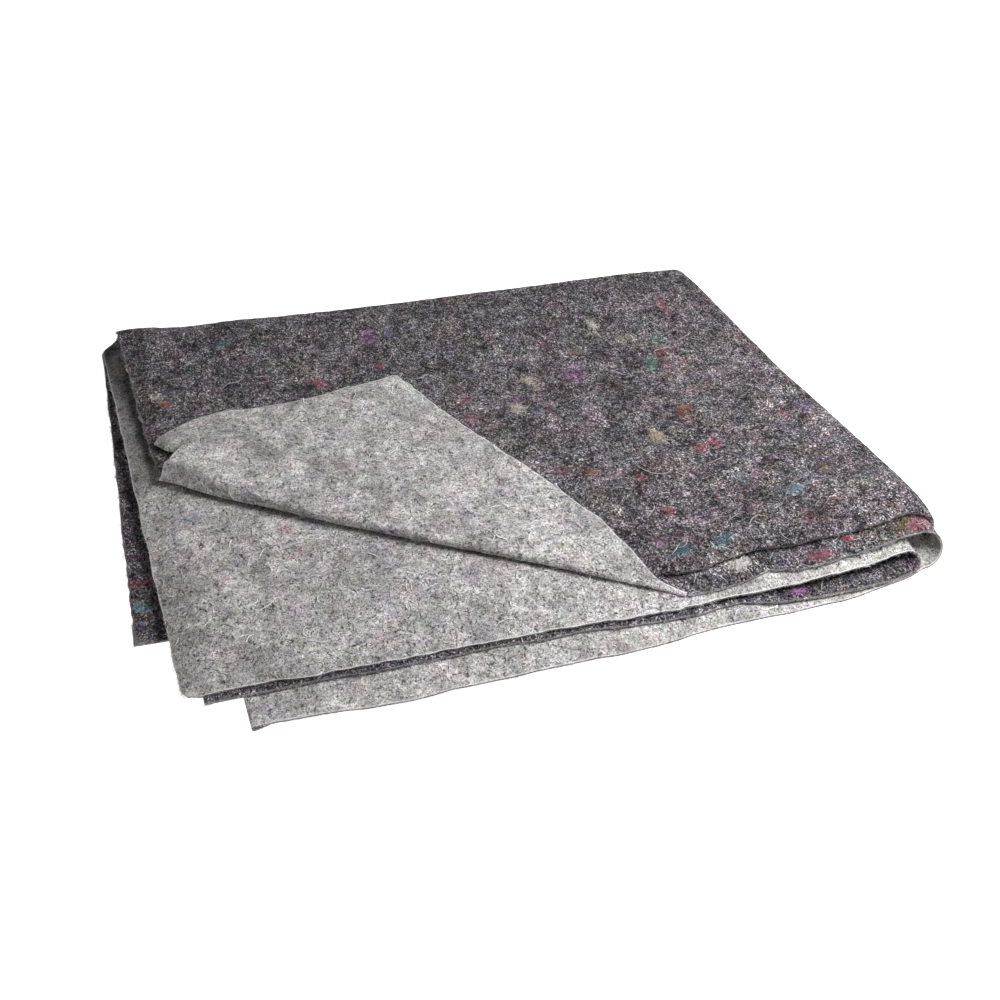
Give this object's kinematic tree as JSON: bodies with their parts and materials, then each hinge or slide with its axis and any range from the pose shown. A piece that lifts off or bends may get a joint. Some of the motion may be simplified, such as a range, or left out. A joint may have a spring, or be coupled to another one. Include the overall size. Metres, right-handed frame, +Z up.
{
  "type": "folded felt dust sheet",
  "caption": "Painter's dust sheet of needled recycled-fibre felt, folded flat into a pack with one corner of the top layer peeled back to show its paler side.",
  "frame": {"origin": "on the surface it lies on, under the middle of the folded pack", "axes": "+X along the folded panels, to the right; +Y to the back, where the half fold is; +Z up"},
  "size_m": [0.6734, 0.555, 0.0456],
  "materials": {
    "recycled_felt": "matt needled felt of mixed recycled fibres, dark mottled side and pale side"
  },
  "bodies": {
    "root": {"dust_sheet": "recycled_felt"}
  },
  "joints": []
}
